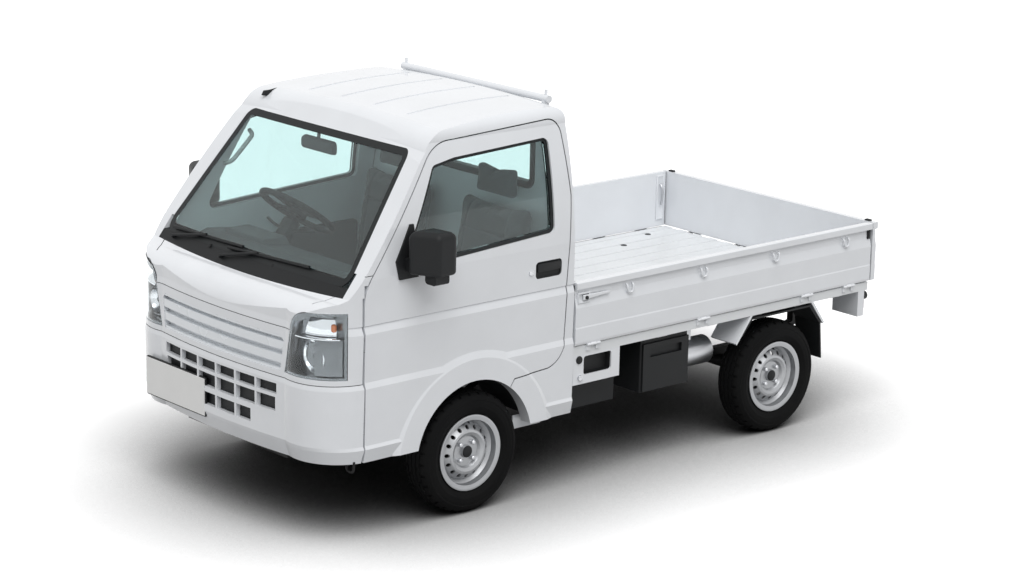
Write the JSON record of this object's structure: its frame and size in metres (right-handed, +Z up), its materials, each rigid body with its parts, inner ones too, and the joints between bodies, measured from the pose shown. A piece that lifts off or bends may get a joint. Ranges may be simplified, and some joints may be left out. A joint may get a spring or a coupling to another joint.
{
  "type": "light cab-over flatbed truck",
  "caption": "Small white cab-over flatbed truck with drop-side bed, opening doors and gates, steered front wheels and a guard frame behind the cab.",
  "frame": {"origin": "on the ground, at the middle of the length and width", "axes": "+X forward, +Y to the truck's left, +Z up"},
  "size_m": [3.395, 1.801, 1.765],
  "materials": {
    "white_paint": "solid white gloss paint",
    "tinted_glass": "clear green-tinted safety glass",
    "black_plastic": "grained black moulding",
    "grey_plastic": "grained grey moulding",
    "seat_fabric": "woven grey seat cloth",
    "chassis_black": "black chassis paint",
    "cast_metal": "rough cast metal",
    "bare_steel": "dull exhaust steel",
    "lamp_lens": "clear moulded lens",
    "red_lens": "red moulded lens",
    "grille_grey": "grey moulded grille",
    "plate_white": "blank painted sheet",
    "wheel_silver": "silver wheel paint",
    "black_rubber": "smooth black rubber seal",
    "lamp_chrome": "silvered moulding",
    "tyre": "black rubber"
  },
  "bodies": {
    "chassis": {"frame_rails": "chassis_black", "cross_members": "chassis_black", "control_arms": "chassis_black", "engine": "cast_metal", "rear_axle": "chassis_black", "leaf_springs": "chassis_black", "propeller_shaft": "chassis_black", "exhaust": "bare_steel", "fuel_tank": "black_plastic", "battery_box": "black_plastic", "side_brackets": "white_paint", "mudguards": "black_plastic", "under_covers": "black_plastic", "tail_lamps": "red_lens", "cab_roof": "white_paint", "cab_back_wall": "white_paint", "rear_window": "tinted_glass", "cab_side_left": "white_paint", "cab_side_right": "white_paint", "windscreen": "tinted_glass", "screen_band": "black_rubber", "cowl": "black_plastic", "wipers": "black_plastic", "front_panel": "white_paint", "front_bumper": "white_paint", "headlamps": "lamp_lens", "lamp_housings": "lamp_chrome", "grille": "grille_grey", "number_plate": "plate_white", "cab_floor": "white_paint", "dashboard": "grey_plastic", "steering_column": "black_plastic", "seat_bases": "chassis_black", "seat_cushions": "seat_fabric", "seat_backs": "seat_fabric", "bed_floor": "white_paint", "gate_hinge_sets": "white_paint", "guard_frame": "white_paint"},
    "door_left": {"door_left": "white_paint", "door_glass_left": "tinted_glass", "door_seal_left": "black_rubber", "mirror_left": "black_plastic"},
    "door_right": {"door_right": "white_paint", "door_glass_right": "tinted_glass", "door_seal_right": "black_rubber", "mirror_right": "black_plastic"},
    "side_gate_left": {"side_gate_left": "white_paint"},
    "side_gate_right": {"side_gate_right": "white_paint"},
    "tailgate": {"tailgate": "white_paint"},
    "steering_wheel": {"steering_wheel": "black_plastic"},
    "knuckle_left": {"knuckle_left": "chassis_black"},
    "knuckle_right": {"knuckle_right": "chassis_black"},
    "wheel_front_left": {"rim_front_left": "wheel_silver", "tyre_front_left": "tyre"},
    "wheel_front_right": {"rim_front_right": "wheel_silver", "tyre_front_right": "tyre"},
    "wheel_rear_left": {"rim_rear_left": "wheel_silver", "tyre_rear_left": "tyre"},
    "wheel_rear_right": {"rim_rear_right": "wheel_silver", "tyre_rear_right": "tyre"}
  },
  "joints": [
    {"name": "steer_left", "type": "hinge", "parent": "chassis", "child": "knuckle_left", "pos_m": [0.8635, 0.575, 0.27], "axis": [0, -0.2079, 0.9781], "range_deg": [-35, 35]},
    {"name": "steer_right", "type": "hinge", "parent": "chassis", "child": "knuckle_right", "pos_m": [0.8635, -0.575, 0.27], "axis": [0, 0.2079, 0.9781], "range_deg": [-35, 35]},
    {"name": "steering_wheel_turn", "type": "hinge", "parent": "chassis", "child": "steering_wheel", "pos_m": [1, -0.345, 1.16], "axis": [-0.6, 0, 0.8], "range_deg": [-600, 600]},
    {"name": "door_left_hinge", "type": "hinge", "parent": "chassis", "child": "door_left", "pos_m": [1.4475, 0.718, 0.7], "axis": [0, 0, -1], "range_deg": [0, 65]},
    {"name": "door_right_hinge", "type": "hinge", "parent": "chassis", "child": "door_right", "pos_m": [1.4475, -0.718, 0.7], "axis": [0, 0, 1], "range_deg": [0, 65]},
    {"name": "side_gate_left_hinge", "type": "hinge", "parent": "chassis", "child": "side_gate_left", "pos_m": [-0.7, 0.731, 0.646], "axis": [-1, 0, 0], "range_deg": [0, 172]},
    {"name": "side_gate_right_hinge", "type": "hinge", "parent": "chassis", "child": "side_gate_right", "pos_m": [-0.7, -0.731, 0.646], "axis": [1, 0, 0], "range_deg": [0, 172]},
    {"name": "tailgate_hinge", "type": "hinge", "parent": "chassis", "child": "tailgate", "pos_m": [-1.69, 0, 0.646], "axis": [0, -1, 0], "range_deg": [0, 172]},
    {"name": "wheel_front_left_spin", "type": "hinge", "parent": "knuckle_left", "child": "wheel_front_left", "pos_m": [0.8635, 0.6525, 0.27], "axis": [0, 1, 0], "continuous": true},
    {"name": "wheel_front_right_spin", "type": "hinge", "parent": "knuckle_right", "child": "wheel_front_right", "pos_m": [0.8635, -0.6525, 0.27], "axis": [0, 1, 0], "continuous": true},
    {"name": "wheel_rear_left_spin", "type": "hinge", "parent": "chassis", "child": "wheel_rear_left", "pos_m": [-1.0415, 0.645, 0.27], "axis": [0, 1, 0], "continuous": true},
    {"name": "wheel_rear_right_spin", "type": "hinge", "parent": "chassis", "child": "wheel_rear_right", "pos_m": [-1.0415, -0.645, 0.27], "axis": [0, 1, 0], "continuous": true}
  ],
  "couplings": [
    {"joint": "steer_right", "follows": "steer_left", "ratio": 1},
    {"joint": "steering_wheel_turn", "follows": "steer_left", "ratio": 17}
  ]
}
